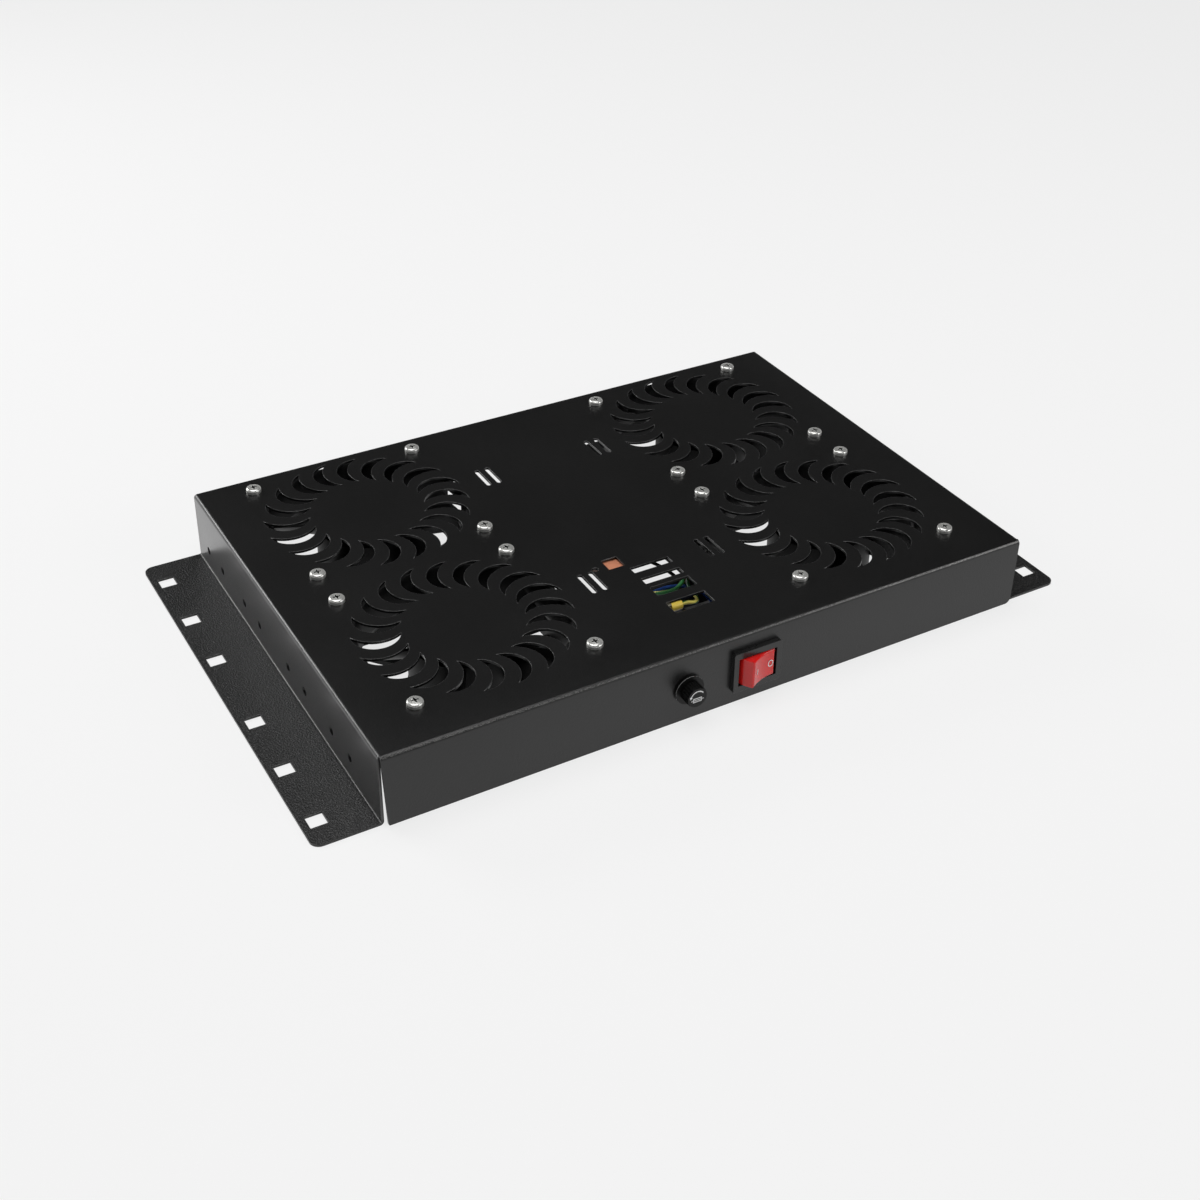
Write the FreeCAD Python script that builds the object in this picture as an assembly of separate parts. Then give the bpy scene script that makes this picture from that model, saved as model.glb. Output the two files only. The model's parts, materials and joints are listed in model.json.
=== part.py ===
import FreeCAD, Part
import math
import os
from FreeCAD import Vector

# Rack fan tray, millimetres.  X runs along the width, the front panel faces -Y, Z is up.
# The origin is on the resting plane (underside of the flanges), centred under the whole part.

# ---- tray: one bent steel sheet ----
rack_width = 482.6          # over both flanges, the 19 inch panel width
tray_width = 410.0          # over the side walls
front_space = 23.2          # front panel face to the front fans
rear_space = 5.8            # rear fans to the rear edge
tray_height = 44.0          # flange underside to top plate, one rack unit
sheet = 1.5
bend_inner = 0.8            # inside radius of every bend
flange_corner = 5.5         # rounded outer corners of the flanges
panel_inset = 1.0           # front panel ends short of the side walls at its top
panel_taper_left = 2.0      # and tapers this much further in towards the bottom
panel_taper_right = 0.8
panel_corner_left = 1.0
panel_corner_right = 4.0

# ---- square rack holes in the flanges ----
rack_hole_inset = 8.75      # edge of the flange to the middle of its holes
rack_hole_pitch = 44.45     # one rack unit
rack_hole_side = 9.5
rack_hole_rows = 3          # holes in each group
rack_group_gap = 63.2       # between the inner holes of the two groups on a side

# ---- holes in the side walls ----
wall_pair_rows = (-87.0, -23.8, 46.1, 109.2)   # pair centres, from the middle of the plate
wall_pair_gap = 25.0
wall_hole_d = 5.0
wall_hole_height = 14.6

# ---- fans ----
fan_size = 120.0
fan_depth = 38.0
fan_hole_inset = 7.6        # side of a fan to its fixing holes, 104.8 mm apart
fan_column_gap = 118.8      # between the left and right fans
fan_row_gap = 13.0          # between the front and rear fans
fan_corner = 7.0
fan_ear = 4.5
fan_hole_d = 4.4
duct_wall = 2.5
inlet_flare = 1.8           # growth of the bore radius at the inlet
inlet_flare_depth = 3.0
outlet_flare = 12.0         # growth of the bore radius in the outlet corners
outlet_flare_depth = 17.5
window_low = 10.0           # window in the duct wall, below the top ear, to each side of its axis
window_high = 13.0
window_top = 6.5
window_height = 10.5
base_d = 64.0
base_thick = 3.0
strut_width = 7.0
strut_count = 3
lead_angle = -20.0          # the strut that carries the lead

# ---- fan motor and impeller ----
hub_d = 63.0
hub_wall = 2.0
hub_top_gap = 5.5           # below the top face of the fan
hub_bottom_gap = 4.5        # above the motor base
blade_count = 5
blade_tip_gap = 1.3
blade_top = 7.5             # below the top face of the fan
blade_height = 15.0
blade_sweep = 26.0          # degrees turned from the upper to the lower edge
blade_root_thick = 1.8
blade_tip_thick = 1.3
blade_camber = 2.2
shaft_d = 4.0
bearing_d = 11.0
bearing_width = 4.0
bearing_fit = 0.02          # radial running clearance of the shaft
bearing_step = 0.6          # shoulder between the two bearing seats
tube_wall = 1.5
tube_top_gap = 8.5          # from the underside of the hub top to the bearing tube
boss_d = 10.0               # boss of the hub around the shaft
boss_gap = 1.0              # from the boss to the bearing tube
shaft_sink = 1.0            # shaft end inside the hub top
shaft_end_gap = 0.3         # from the shaft to the motor base
rotor_wall = 2.2
rotor_height = 18.0
air_gap = 0.8
core_height = 8.0
coil_height = 3.0
coil_inset = 2.2
rotor_drop = 2.0
blade_phase = {"a": 0.0, "b": 34.0, "c": 2.0, "d": 0.0}   # degrees, how each impeller stopped

# ---- fan fixings: M4 pan head screw and nut ----
screw_d = 4.0
screw_length = 12.0
screw_head_d = 9.2
screw_head_h = 3.2
screw_head_round = 1.5      # radius around the top of the head
screw_head_crown = 0.3      # rise of the top inside that
recess_width = 0.9
recess_span = 4.2
recess_middle_d = 1.8
recess_depth = 1.6
nut_flats = 7.0
nut_height = 3.2
plate_hole_extra = 0.5      # hole in the sheet larger than its screw
thread_gap = 0.05

# ---- crescent vents over each fan ----
vent_count = 20
vent_past_bore = 4.1        # outer ends of the vents outside the bore
vent_past_hub = 2.9         # inner ends of the vents outside the hub
vent_outer_turn = 2.2       # degrees
vent_inner_turn = 4.4
vent_bulge = 12.5           # height of the convex side over the chord
vent_hollow = 6.0           # height of the concave side over the chord

# ---- small openings in the plate ----
layout_line = 141.0         # from the panel face to the line that the places below are read from
tie_slot_x = 39.0           # middle of each pair of tie slots
tie_slot_gap = 7.0
tie_slot_width = 3.0
tie_slot_length = 20.0
tie_slot_shift = 0.5        # tie slots behind the middle of each fan row
window_hole = (-19.2, -45.8)
window_hole_side = 10.0
pilot_hole = (-31.5, -47.0)
pilot_hole_d = 4.0
slot_left = -13.2
slot_right = 12.0
slot_corner = 0.5
slot_rows = ((-60.8, -55.2), (-73.3, -67.6), (-87.0, -77.5), (-105.8, -94.5))

# ---- rocker switch ----
switch_x = 16.7
switch_z = 21.5
bezel_width = 31.0
bezel_height = 26.0
bezel_proud = 3.2
bezel_corner = 1.2
switch_body_width = 27.8
switch_body_height = 22.4
switch_body_depth = 27.0
switch_cut_gap = 0.2        # around the body in its cut-out
latch_proud = 1.0
latch_height = 8.0
latch_length = 5.0
rocker_span = 24.0          # diameter of the arc its two front corners follow
rocker_height = 17.4
rocker_gap = 0.35           # around the rocker in the bezel
rocker_travel = 36.0        # degrees
rocker_rise = 40.0          # degrees from the pivot to each front corner, in mid position
rocker_valley = 6.3         # hollow front face ahead of the pivot
rocker_waist = 21.8         # across its ends, level with the pivot
rocker_skirt = 4.8          # its ends reach this far behind the pivot
rocker_nose = 1.3           # radius of its two front corners
pivot_behind = 1.0          # pivot behind the face of the panel
pivot_d = 3.0
pivot_reach = 0.6
pivot_fit = 0.06
cavity_depth = 12.0
tab_thick = 0.8
tab_width = 4.8
tab_length = 8.0
tab_root = 4.0              # length of a tab inside the body
tab_columns = 14.4
tab_rows = 11.0
boot_wall = 0.9
boot_length = 14.0
boot_fit = 0.05
boot_gap = 0.3              # between a boot and the body

# ---- panel fuse holder ----
fuse_x = -26.3
fuse_z = 20.6
fuse_ring_d = 17.6
fuse_ring_thick = 2.0
fuse_barrel_d = 12.2
fuse_barrel_length = 33.0   # behind the panel face
fuse_hole_gap = 0.15
fuse_nut_d = 17.0
fuse_nut_flats = 15.0
fuse_nut_thick = 3.0
fuse_cap_d = 12.5
fuse_cap_reach = 9.4        # cap end in front of the panel
fuse_cap_ribs = 24
fuse_cap_rib = 0.35
fuse_cap_skirt_d = 9.0
fuse_cap_skirt = 9.0        # length inside the barrel
fuse_fit = 0.08
fuse_seat_gap = 0.3
fuse_d = 5.2
fuse_glass_d = 4.6
fuse_glass_bore = 3.4
fuse_length = 20.0
fuse_cap_length = 5.0
fuse_bore_gap = 0.5
fuse_socket = 6.0           # depth that the fuse sits in its cap
fuse_tab_thick = 0.8
fuse_tab_width = 4.8
fuse_tab_length = 8.0
fuse_tab_root = 2.0         # length of the rear tab inside the barrel
side_tab_gap = 3.0          # between the ring nut and the side tab

# ---- terminal block under the plate ----
block_left = -23.5
block_right = -12.2
block_rear = -26.0
block_front = -60.0
block_top = 2.0             # depth of its top below the plate
block_bottom = 14.0
block_stud_rows = (-52.0, -34.0)
block_stud_d = 3.0
block_nut_flats = 5.5
block_nut_height = 2.4
clamp_screw_d = 2.6
clamp_rows = (-57.2, -43.0, -28.8)
clamp_sink = 1.0            # clamp screws below the face of the block
clamp_length = 2.0
clamp_gap = 7.0             # between the two rows of clamp screws
stud_past = 1.0             # stud showing past its nut

# ---- earth stud, ring terminal and sleeve ----
earth_x = -18.5
earth_y = -94.0
earth_stud_d = 4.0
earth_stud_length = 8.0
ring_d = 8.4
ring_thick = 0.8
tongue_width = 4.0
strap_width = 2.0           # strap from the tongue down to the crimp barrel
barrel_depth = 4.6          # axis of the crimp below the plate's top
barrel_start = -10.6
barrel_end = -2.6
barrel_d = 3.4
sleeve_d = 5.8
sleeve_start = -9.9

# ---- junction box behind the switch ----
jbox_left = 0.0
jbox_right = 40.0
jbox_rear = -50.0
jbox_front = -80.0
jbox_top = 20.0             # depth below the plate's top
jbox_bottom = 33.0
jbox_wall = 1.6
jbox_post_x = 35.0
jbox_post_rows = (-74.0, -56.0)
jbox_post_d = 7.0
jbox_stud_d = 3.0
jbox_lid_thick = 1.6
jbox_screw_d = 2.5
jbox_screw_head_d = 5.0
jbox_screw_head = 1.6
jbox_screw_length = 8.0
jbox_hole_past = 1.0        # screw hole deeper than its screw
jbox_boss_d = 5.6
jbox_screw_spots = ((4.6, -54.6), (4.6, -75.4))

# ---- wires ----
wire_d = 2.2
lead_d = 2.6
lead_rest = 0.1             # lead above the strut it lies on
lead_hole_d = 3.4
lead_radii = (26.0, 49.0, 72.0)   # straight part of a lead along its strut
wire_bend_share = 0.45      # share of a run that each of its bends may take
straight_limit = 0.001      # radians; a flatter corner is left out of a wire
live_straight = 5.5         # straight end of the live wire at the fuse holder

# ---- cutting and joining ----
cut_past = 1.0              # how far a cutting block reaches past a face
join_sink = 2.0             # how far a joined piece reaches into its neighbour
same_point = 1e-6

# ---- derived places ----
bend_outer = bend_inner + sheet
tray_depth = front_space + 2 * fan_size + fan_row_gap + rear_space
nose_reach = rocker_span / 2 * math.sin(math.radians(rocker_rise + rocker_travel / 2)) - pivot_behind
rear_y = (tray_depth + max(fuse_cap_reach, nose_reach)) / 2
front_y = rear_y - tray_depth
plate_y = (rear_y + front_y) / 2
layout_y = front_y + layout_line
underside = tray_height - sheet
wall_front = front_y + bend_outer
bore_r = fan_size / 2 - duct_wall
vent_outer_r = bore_r + vent_past_bore
vent_inner_r = hub_d / 2 + vent_past_hub
fan_hole_square = fan_size - 2 * fan_hole_inset
axis_z = Vector(0, 0, 1)


def at(x, y, depth):
    """Point given from the layout line on the plate's top, with depth measured down."""
    return Vector(x, y + layout_y, tray_height - depth)


def box(x_span, y_span, z_span):
    size = [span[1] - span[0] for span in (x_span, y_span, z_span)]
    return Part.makeBox(*size, Vector(x_span[0], y_span[0], z_span[0]))


def rod(diameter, start, end):
    axis = end - start
    return Part.makeCylinder(diameter / 2, axis.Length, start, axis)


def tube(outer_d, inner_d, start, end):
    return rod(outer_d, start, end).cut(rod(inner_d, start, end))


def polar(radius, degrees, z=0.0):
    angle = math.radians(degrees)
    return Vector(radius * math.cos(angle), radius * math.sin(angle), z)


def rounded_face(corners, radii):
    """Flat face through the corners, each rounded to its own radius."""
    edges = []
    last = None
    first = None
    for index, corner in enumerate(corners):
        if radii[index] > 0:
            before = (corners[index - 1] - corner).normalize()
            after = (corners[(index + 1) % len(corners)] - corner).normalize()
            half = before.getAngle(after) / 2
            reach = radii[index] / math.tan(half)
            inward = (before + after).normalize()
            middle = corner + inward * (radii[index] / math.sin(half) - radii[index])
            start = corner + before * reach
            end = corner + after * reach
            arc = Part.Arc(start, middle, end).toShape()
        else:
            start = corner
            end = corner
            arc = None
        if last is None:
            first = start
        elif last.distanceToPoint(start) > same_point:
            edges.append(Part.LineSegment(last, start).toShape())
        if arc is not None:
            edges.append(arc)
        last = end
    if last.distanceToPoint(first) > same_point:
        edges.append(Part.LineSegment(last, first).toShape())
    return Part.Face(Part.Wire(edges))


def rounded_block(x_span, y_span, z_span, radius):
    """Upright block with rounded vertical edges."""
    corners = [Vector(x_span[0], y_span[0], z_span[0]), Vector(x_span[1], y_span[0], z_span[0]),
               Vector(x_span[1], y_span[1], z_span[0]), Vector(x_span[0], y_span[1], z_span[0])]
    return rounded_face(corners, [radius] * 4).extrude(Vector(0, 0, z_span[1] - z_span[0]))


def slot_block(centre, width, length, z_span):
    """Round-ended slot along Y, as a cutting block."""
    x_span = (centre.x - width / 2, centre.x + width / 2)
    y_span = (centre.y - length / 2, centre.y + length / 2)
    return rounded_block(x_span, y_span, z_span, width / 2)


def hexagon(flats, base, height):
    corners = [base + polar(flats / math.sqrt(3), 60 * k) for k in range(6)]
    return Part.Face(Part.makePolygon(corners + corners[:1])).extrude(Vector(0, 0, height))


def nut(flats, hole_d, base, height):
    return hexagon(flats, base, height).cut(rod(hole_d, base, base + axis_z * height))


def save(name, solids):
    solids = solids if isinstance(solids, list) else [solids]
    for solid in solids:
        if not solid.isValid():
            print("not valid:", name)
    shape = solids[0] if len(solids) == 1 else Part.makeCompound(solids)
    shape.exportStep("parts/" + name + ".step")
    print(name, "solids", len(shape.Solids), "volume", round(shape.Volume, 2))


# ---------------------------------------------------------------- tray

fan_x = (fan_column_gap + fan_size) / 2
front_row = front_y + front_space + fan_size / 2
rear_row = front_row + fan_size + fan_row_gap
fan_places = {
    "a": (Vector(-fan_x, rear_row, tray_height), 0),
    "b": (Vector(-fan_x, front_row, tray_height), -90),
    "c": (Vector(fan_x, rear_row, tray_height), 180),
    "d": (Vector(fan_x, front_row, tray_height), 180),
}
fan_hole_spots = [(sx * fan_hole_square / 2, sy * fan_hole_square / 2)
                  for sx in (-1, 1) for sy in (-1, 1)]
screw_spots = [centre + Vector(x, y, 0) for centre, turn in fan_places.values()
               for x, y in fan_hole_spots]
cut_low = underside - cut_past
cut_high = tray_height + cut_past


def hat_section():
    """Flange, side wall, plate, side wall and flange as one bent strip."""
    flange_x = rack_width / 2
    wall_x = tray_width / 2
    half = [(flange_x, 0, 0), (flange_x, sheet, 0), (wall_x, sheet, bend_inner),
            (wall_x, tray_height, bend_outer)]
    inner = [(wall_x - sheet, underside, bend_inner), (wall_x - sheet, 0, bend_outer)]
    outline = half + [(-x, z, r) for x, z, r in reversed(half)]
    outline += [(-x, z, r) for x, z, r in reversed(inner)] + inner
    corners = [Vector(x, wall_front, z) for x, z, r in outline]
    return rounded_face(corners, [r for x, z, r in outline])


def hat():
    body = hat_section().extrude(Vector(0, rear_y - wall_front, 0))
    plan = rounded_block((-rack_width / 2, rack_width / 2), (wall_front, rear_y),
                         (-cut_past, cut_high), flange_corner)
    return body.common(plan)


def front_bend():
    """Quarter bend from the plate down into the front panel."""
    x = tray_width / 2 - panel_inset
    corners = [Vector(-x, wall_front, tray_height), Vector(-x, front_y, tray_height),
               Vector(-x, front_y, tray_height - bend_outer),
               Vector(-x, front_y + sheet, tray_height - bend_outer),
               Vector(-x, front_y + sheet, underside), Vector(-x, wall_front, underside)]
    face = rounded_face(corners, [0, bend_outer, 0, 0, bend_inner, 0])
    return face.extrude(Vector(2 * x, 0, 0))


def front_panel():
    top = tray_height - bend_outer
    x = tray_width / 2 - panel_inset
    corners = [Vector(-x, front_y, top), Vector(-x + panel_taper_left, front_y, 0),
               Vector(x - panel_taper_right, front_y, 0), Vector(x, front_y, top)]
    radii = [0, panel_corner_left, panel_corner_right, 0]
    return rounded_face(corners, radii).extrude(Vector(0, sheet, 0))


def crescent(centre, turn):
    outer = centre + polar(vent_outer_r, turn + vent_outer_turn)
    inner = centre + polar(vent_inner_r, turn + vent_inner_turn)
    chord = outer - inner
    side = Vector(-chord.y, chord.x, 0).normalize()
    middle = (outer + inner) / 2
    convex = Part.Arc(outer, middle + side * vent_bulge, inner).toShape()
    concave = Part.Arc(inner, middle + side * vent_hollow, outer).toShape()
    face = Part.Face(Part.Wire([convex, concave]))
    return face.extrude(Vector(0, 0, cut_high - cut_low))


def plate_cuts():
    cuts = []
    for spot, turn in fan_places.values():
        centre = Vector(spot.x, spot.y, cut_low)
        cuts += [crescent(centre, k * 360 / vent_count) for k in range(vent_count)]
    for spot in screw_spots:
        cuts.append(rod(screw_d + plate_hole_extra, spot - axis_z * (sheet + cut_past),
                        spot + axis_z * cut_past))
    for side in (-1, 1):
        for offset in (-tie_slot_gap / 2, tie_slot_gap / 2):
            for row in (front_row, rear_row):
                centre = Vector(side * tie_slot_x + offset, row + tie_slot_shift, cut_low)
                cuts.append(slot_block(centre, tie_slot_width, tie_slot_length,
                                       (cut_low, cut_high)))
    half = window_hole_side / 2
    x, y = window_hole
    cuts.append(box((x - half, x + half), (y - half + layout_y, y + half + layout_y),
                    (cut_low, cut_high)))
    cuts.append(rod(pilot_hole_d, at(*pilot_hole, sheet + cut_past), at(*pilot_hole, -cut_past)))
    for low, high in slot_rows:
        cuts.append(rounded_block((slot_left, slot_right), (low + layout_y, high + layout_y),
                                  (cut_low, cut_high), slot_corner))
    return cuts


def flange_cuts():
    cuts = []
    half = rack_hole_side / 2
    for side in (-1, 1):
        x = side * (rack_width / 2 - rack_hole_inset)
        for end in (-1, 1):
            for row in range(rack_hole_rows):
                y = plate_y + end * (rack_group_gap / 2 + row * rack_hole_pitch)
                cuts.append(box((x - half, x + half), (y - half, y + half),
                                (-cut_past, sheet + cut_past)))
    return cuts


def wall_cuts():
    cuts = []
    for side in (-1, 1):
        x = side * tray_width / 2
        for row in wall_pair_rows:
            for offset in (-wall_pair_gap / 2, wall_pair_gap / 2):
                spot = Vector(x, plate_y + row + offset, wall_hole_height)
                reach = Vector(2 * sheet, 0, 0)
                cuts.append(rod(wall_hole_d, spot - reach, spot + reach))
    return cuts


def panel_cuts():
    width = switch_body_width / 2 + switch_cut_gap
    height = switch_body_height / 2 + switch_cut_gap
    y_span = (front_y - cut_past, front_y + sheet + cut_past)
    return [box((switch_x - width, switch_x + width), y_span, (switch_z - height, switch_z + height)),
            rod(fuse_barrel_d + 2 * fuse_hole_gap, Vector(fuse_x, y_span[0], fuse_z),
                Vector(fuse_x, y_span[1], fuse_z))]


def studs():
    """Weld studs under the plate, sunk a little into the sheet so that they join it."""
    bite = axis_z * (sheet / 2)
    ends = [(earth_stud_d, at(earth_x, earth_y, sheet), earth_stud_length)]
    block_x = (block_left + block_right) / 2
    block_stud = block_bottom - sheet + block_nut_height + stud_past
    ends += [(block_stud_d, at(block_x, row, sheet), block_stud) for row in block_stud_rows]
    box_stud = jbox_top + jbox_wall - sheet + block_nut_height + stud_past
    ends += [(jbox_stud_d, at(jbox_post_x, row, sheet), box_stud) for row in jbox_post_rows]
    return [rod(d, top - axis_z * length, top + bite) for d, top, length in ends]


def tray():
    body = hat().fuse([front_bend(), front_panel()]).removeSplitter()
    body = body.cut(plate_cuts() + flange_cuts() + wall_cuts() + panel_cuts())
    return body.fuse(studs())


# ---------------------------------------------------------------- fan, built about its own axis
# z is 0 on the fan's top face and falls to -fan_depth

base_top = -fan_depth + base_thick
hub_top = -hub_top_gap
hub_bottom = base_top + hub_bottom_gap
hub_roof = hub_top - hub_wall
tube_top = hub_roof - tube_top_gap
tube_d = bearing_d + 2 * tube_wall
lead_level = base_top + lead_d / 2 + lead_rest


def square_block(side, z_span, corner):
    return rounded_block((-side / 2, side / 2), (-side / 2, side / 2), z_span, corner)


def outlet_cone(extra):
    """Bore growing towards the outlet."""
    start = -fan_depth + outlet_flare_depth
    radius = bore_r + extra
    return Part.makeCone(radius, radius + outlet_flare, outlet_flare_depth,
                         Vector(0, 0, start), -axis_z)


def fan_frame():
    top = Vector(0, 0, 0)
    bottom = Vector(0, 0, -fan_depth)
    square = square_block(fan_size, (-fan_depth, 0), fan_corner)
    body = rod(fan_size, bottom, top).fuse([
        square_block(fan_size, (-fan_ear, 0), fan_corner),
        square_block(fan_size, (-fan_depth, -fan_depth + fan_ear), fan_corner),
        outlet_cone(duct_wall).common(square)])
    inner_square = box((-bore_r, bore_r), (-bore_r, bore_r), (-fan_depth, 0))
    inlet = Part.makeCone(bore_r, bore_r + inlet_flare, inlet_flare_depth,
                          Vector(0, 0, -inlet_flare_depth), axis_z)
    window = box((bore_r - window_low, fan_size), (-window_low, window_high),
                 (-window_top - window_height, -window_top))
    cuts = [rod(2 * bore_r, bottom, top), inlet, outlet_cone(0).common(inner_square), window]
    for x, y in fan_hole_spots:
        cuts.append(rod(fan_hole_d, Vector(x, y, -fan_depth), Vector(x, y, 0)))
    body = body.cut(cuts)
    struts = []
    for k in range(strut_count):
        strut = box((base_d / 2 - join_sink, bore_r + duct_wall / 2),
                    (-strut_width / 2, strut_width / 2), (-fan_depth, base_top))
        struts.append(strut.rotate(Vector(), axis_z, lead_angle + k * 360 / strut_count))
    base = rod(base_d, bottom, Vector(0, 0, base_top))
    post = rod(tube_d, Vector(0, 0, base_top), Vector(0, 0, tube_top))
    body = body.fuse(struts + [base, post])
    bores = [rod(bearing_d, Vector(0, 0, base_top), Vector(0, 0, base_top + bearing_width)),
             rod(bearing_d, Vector(0, 0, tube_top - bearing_width), Vector(0, 0, tube_top)),
             rod(bearing_d - 2 * bearing_step, Vector(0, 0, base_top), Vector(0, 0, tube_top)),
             rod(lead_hole_d, polar(bore_r - join_sink, lead_angle, lead_level),
                 polar(fan_size / math.sqrt(2), lead_angle, lead_level))]
    return body.cut(bores)


def blade_section(radius, thick):
    """Cambered section standing across the radius, as a closed wire."""
    half = radius * math.tan(math.radians(blade_sweep / 2))
    high = Vector(radius, half, -blade_top)
    low = Vector(radius, -half, -blade_top - blade_height)
    chord = (low - high).normalize()
    across = Vector(0, -chord.z, chord.y)
    middle = (high + low) / 2 + across * blade_camber
    skin = across * (thick / 2)
    edges = [Part.Arc(high + skin, middle + skin, low + skin).toShape(),
             Part.LineSegment(low + skin, low - skin).toShape(),
             Part.Arc(low - skin, middle - skin, high - skin).toShape(),
             Part.LineSegment(high - skin, high + skin).toShape()]
    return Part.Wire(edges)


def blade():
    tip_r = bore_r - blade_tip_gap
    root_r = (hub_d - hub_wall) / 2
    sections = [blade_section(root_r, blade_root_thick),
                blade_section((root_r + tip_r) / 2, (blade_root_thick + blade_tip_thick) / 2),
                blade_section(tip_r, blade_tip_thick)]
    limit = rod(2 * tip_r, Vector(0, 0, -fan_depth), Vector(0, 0, 0))
    return Part.makeLoft(sections, True, False).common(limit)


def impeller():
    cup = rod(hub_d, Vector(0, 0, hub_bottom), Vector(0, 0, hub_top))
    hollow = rod(hub_d - 2 * hub_wall, Vector(0, 0, hub_bottom), Vector(0, 0, hub_roof))
    boss = rod(boss_d, Vector(0, 0, tube_top + boss_gap), Vector(0, 0, hub_roof))
    one = blade()
    blades = [one.copy().rotate(Vector(), axis_z, k * 360 / blade_count)
              for k in range(blade_count)]
    hole = rod(shaft_d, Vector(0, 0, hub_bottom), Vector(0, 0, hub_roof + shaft_sink))
    return cup.cut(hollow).fuse([boss] + blades).cut(hole)


def rotor_ring():
    outer_d = hub_d - 2 * hub_wall
    top = hub_roof - rotor_drop
    return tube(outer_d, outer_d - 2 * rotor_wall, Vector(0, 0, top - rotor_height),
                Vector(0, 0, top))


def shaft():
    return rod(shaft_d, Vector(0, 0, base_top + shaft_end_gap), Vector(0, 0, hub_roof + shaft_sink))


def bearings():
    spans = [(base_top, base_top + bearing_width), (tube_top - bearing_width, tube_top)]
    return [tube(bearing_d, shaft_d + 2 * bearing_fit, Vector(0, 0, low), Vector(0, 0, high))
            for low, high in spans]


def stator():
    """Laminated core with a ring of winding above and below it, on the bearing tube."""
    core_d = hub_d - 2 * hub_wall - 2 * rotor_wall - 2 * air_gap
    core_low = (hub_roof - rotor_drop - rotor_height / 2) - core_height / 2
    core_high = core_low + core_height
    coil_d = core_d - 2 * coil_inset
    return [tube(core_d, tube_d, Vector(0, 0, core_low), Vector(0, 0, core_high)),
            tube(coil_d, tube_d + 2 * coil_inset, Vector(0, 0, core_high),
                 Vector(0, 0, core_high + coil_height)),
            tube(coil_d, tube_d + 2 * coil_inset, Vector(0, 0, core_low - coil_height),
                 Vector(0, 0, core_low))]


def place(shape, spot, turn):
    copy = shape.copy()
    copy.rotate(Vector(), axis_z, turn)
    copy.translate(spot - axis_z * sheet)
    return copy


# ---------------------------------------------------------------- fan fixings

def pan_screw(spot):
    """Pan head with a crowned top and a cross recess; spot is on top of the plate."""
    low = Vector(0, 0, 0)
    edge = Vector(screw_head_d / 2, 0, 0)
    peak = Vector(0, 0, screw_head_h)
    top_r = edge.x - screw_head_round
    flank = screw_head_h - screw_head_crown - screw_head_round
    turn = Vector(top_r, 0, flank)
    middle = turn + Vector(1, 0, 1).normalize() * screw_head_round
    rim = turn + axis_z * screw_head_round
    crown = Vector(top_r / 2, 0, screw_head_h - screw_head_crown / 4)
    outline = [Part.LineSegment(low, edge).toShape(),
               Part.LineSegment(edge, edge + axis_z * flank).toShape(),
               Part.Arc(edge + axis_z * flank, middle, rim).toShape(),
               Part.Arc(rim, crown, peak).toShape(),
               Part.LineSegment(peak, low).toShape()]
    head = Part.Face(Part.Wire(outline)).revolve(Vector(), axis_z, 360)
    half_span = recess_span / 2
    half_width = recess_width / 2
    z_span = (screw_head_h - recess_depth, screw_head_h + cut_past)
    cross = [box((-half_span, half_span), (-half_width, half_width), z_span),
             box((-half_width, half_width), (-half_span, half_span), z_span),
             rod(recess_middle_d, Vector(0, 0, z_span[0]), Vector(0, 0, z_span[1]))]
    head = head.cut(cross)
    shank = rod(screw_d, Vector(0, 0, -screw_length), low)
    screw = head.fuse(shank)
    screw.translate(spot)
    return screw


def fan_nuts():
    base = -axis_z * (sheet + fan_ear + nut_height)
    return [nut(nut_flats, screw_d + 2 * thread_gap, spot + base, nut_height)
            for spot in screw_spots]


# ---------------------------------------------------------------- switch

switch_spot = Vector(switch_x, front_y, switch_z)
pivot = switch_spot + Vector(0, pivot_behind, 0)


def centred(width, y_span, height, gap=0.0):
    """Block about the switch axis; y_span is measured back from the panel face."""
    half_w = width / 2 + gap
    half_h = height / 2 + gap
    return box((switch_x - half_w, switch_x + half_w), (front_y + y_span[0], front_y + y_span[1]),
               (switch_z - half_h, switch_z + half_h))


def switch_bezel():
    half_w = bezel_width / 2
    half_h = bezel_height / 2
    corners = [switch_spot + Vector(sx * half_w, -bezel_proud, sz * half_h)
               for sx, sz in ((-1, -1), (1, -1), (1, 1), (-1, 1))]
    return rounded_face(corners, [bezel_corner] * 4).extrude(Vector(0, bezel_proud, 0))


def switch_latch(side):
    """Sloped snap latch that grips the rear of the panel."""
    x = switch_x + side * switch_body_width / 2
    front = front_y + sheet + switch_cut_gap
    corners = [Vector(x, front, 0), Vector(x + side * latch_proud, front, 0),
               Vector(x, front + latch_length, 0)]
    face = Part.Face(Part.makePolygon(corners + corners[:1]))
    latch = face.extrude(Vector(0, 0, latch_height))
    latch.translate(Vector(0, 0, switch_z - latch_height / 2))
    return latch


def switch_body():
    body = centred(switch_body_width, (0, switch_body_depth), switch_body_height)
    body = body.fuse([switch_bezel(), switch_latch(-1), switch_latch(1)])
    cavity = centred(rocker_span, (-bezel_proud - cut_past, cavity_depth), rocker_height, rocker_gap)
    reach = axis_z * (rocker_height / 2 + pivot_reach + rocker_gap)
    holes = rod(pivot_d + 2 * pivot_fit, pivot - reach, pivot + reach)
    return body.cut([cavity, holes] + switch_tabs())


def switch_tabs():
    start = front_y + switch_body_depth - tab_root
    end = front_y + switch_body_depth + tab_length
    tabs = []
    for side in (-1, 1):
        for level in (-1, 1):
            x = switch_x + side * tab_columns / 2
            z = switch_z + level * tab_rows / 2
            tabs.append(box((x - tab_thick / 2, x + tab_thick / 2), (start, end),
                            (z - tab_width / 2, z + tab_width / 2)))
    return tabs


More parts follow.
